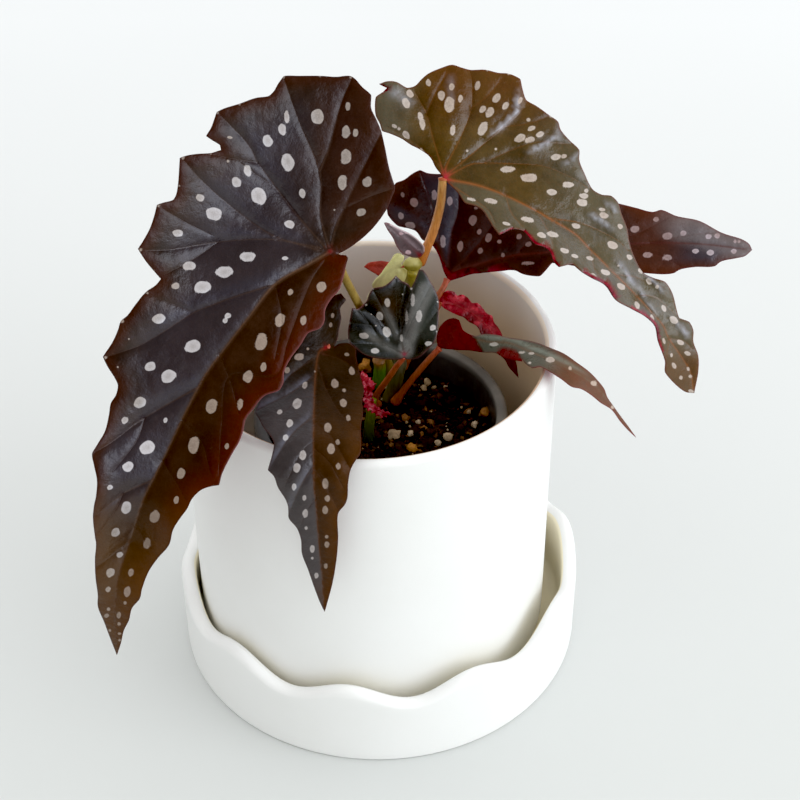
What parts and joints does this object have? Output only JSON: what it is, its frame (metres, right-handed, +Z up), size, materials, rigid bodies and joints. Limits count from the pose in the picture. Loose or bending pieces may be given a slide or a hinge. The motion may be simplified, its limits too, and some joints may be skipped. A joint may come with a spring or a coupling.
{
  "type": "potted begonia",
  "caption": "Spotted begonia in a black nursery pot set in a straight white ceramic pot, standing on a ceramic saucer with a wavy rim.",
  "frame": {"origin": "on the white pot's axis, on the surface that the saucer stands on", "axes": "+Z up, +X to the right of a viewer in front, +Y away from that viewer; the largest leaf hangs to the left and front, the saucer's underside is in the plane z = 0"},
  "size_m": [0.2193, 0.149, 0.2257],
  "materials": {
    "saucer_ceramic": "matte",
    "pot_ceramic": "matte",
    "nursery_plastic": "satin",
    "soil": "matte",
    "stem": "satin",
    "green_shoot": "satin",
    "stipule": "satin",
    "petiole_orange": "satin",
    "petiole_olive": "satin",
    "leaf_dark": "satin",
    "leaf_olive": "satin",
    "leaf_green_black": "satin",
    "leaf_red": "satin"
  },
  "bodies": {
    "root": {"saucer": "saucer_ceramic", "outer_pot": "pot_ceramic", "nursery_pot": "nursery_plastic", "potting_soil": "soil", "main_stem": "stem", "side_stem": "green_shoot", "stipule_large": "stipule", "stipule_hood": "stipule", "leaf_left": "leaf_dark", "leaf_right_upper": "leaf_olive", "leaf_rear": "leaf_dark", "leaf_centre": "leaf_green_black", "leaf_front": "leaf_dark", "leaf_right_lower": "leaf_olive", "leaf_inner": "leaf_red", "leaf_back": "leaf_red", "leaf_young": "leaf_dark", "leaf_bud": "leaf_red", "petiole_left": "petiole_olive", "petiole_right_upper": "petiole_orange", "petiole_rear": "petiole_orange", "petiole_centre": "petiole_orange", "petiole_front": "petiole_orange", "petiole_right_lower": "petiole_orange", "petiole_inner": "petiole_orange"}
  },
  "joints": []
}
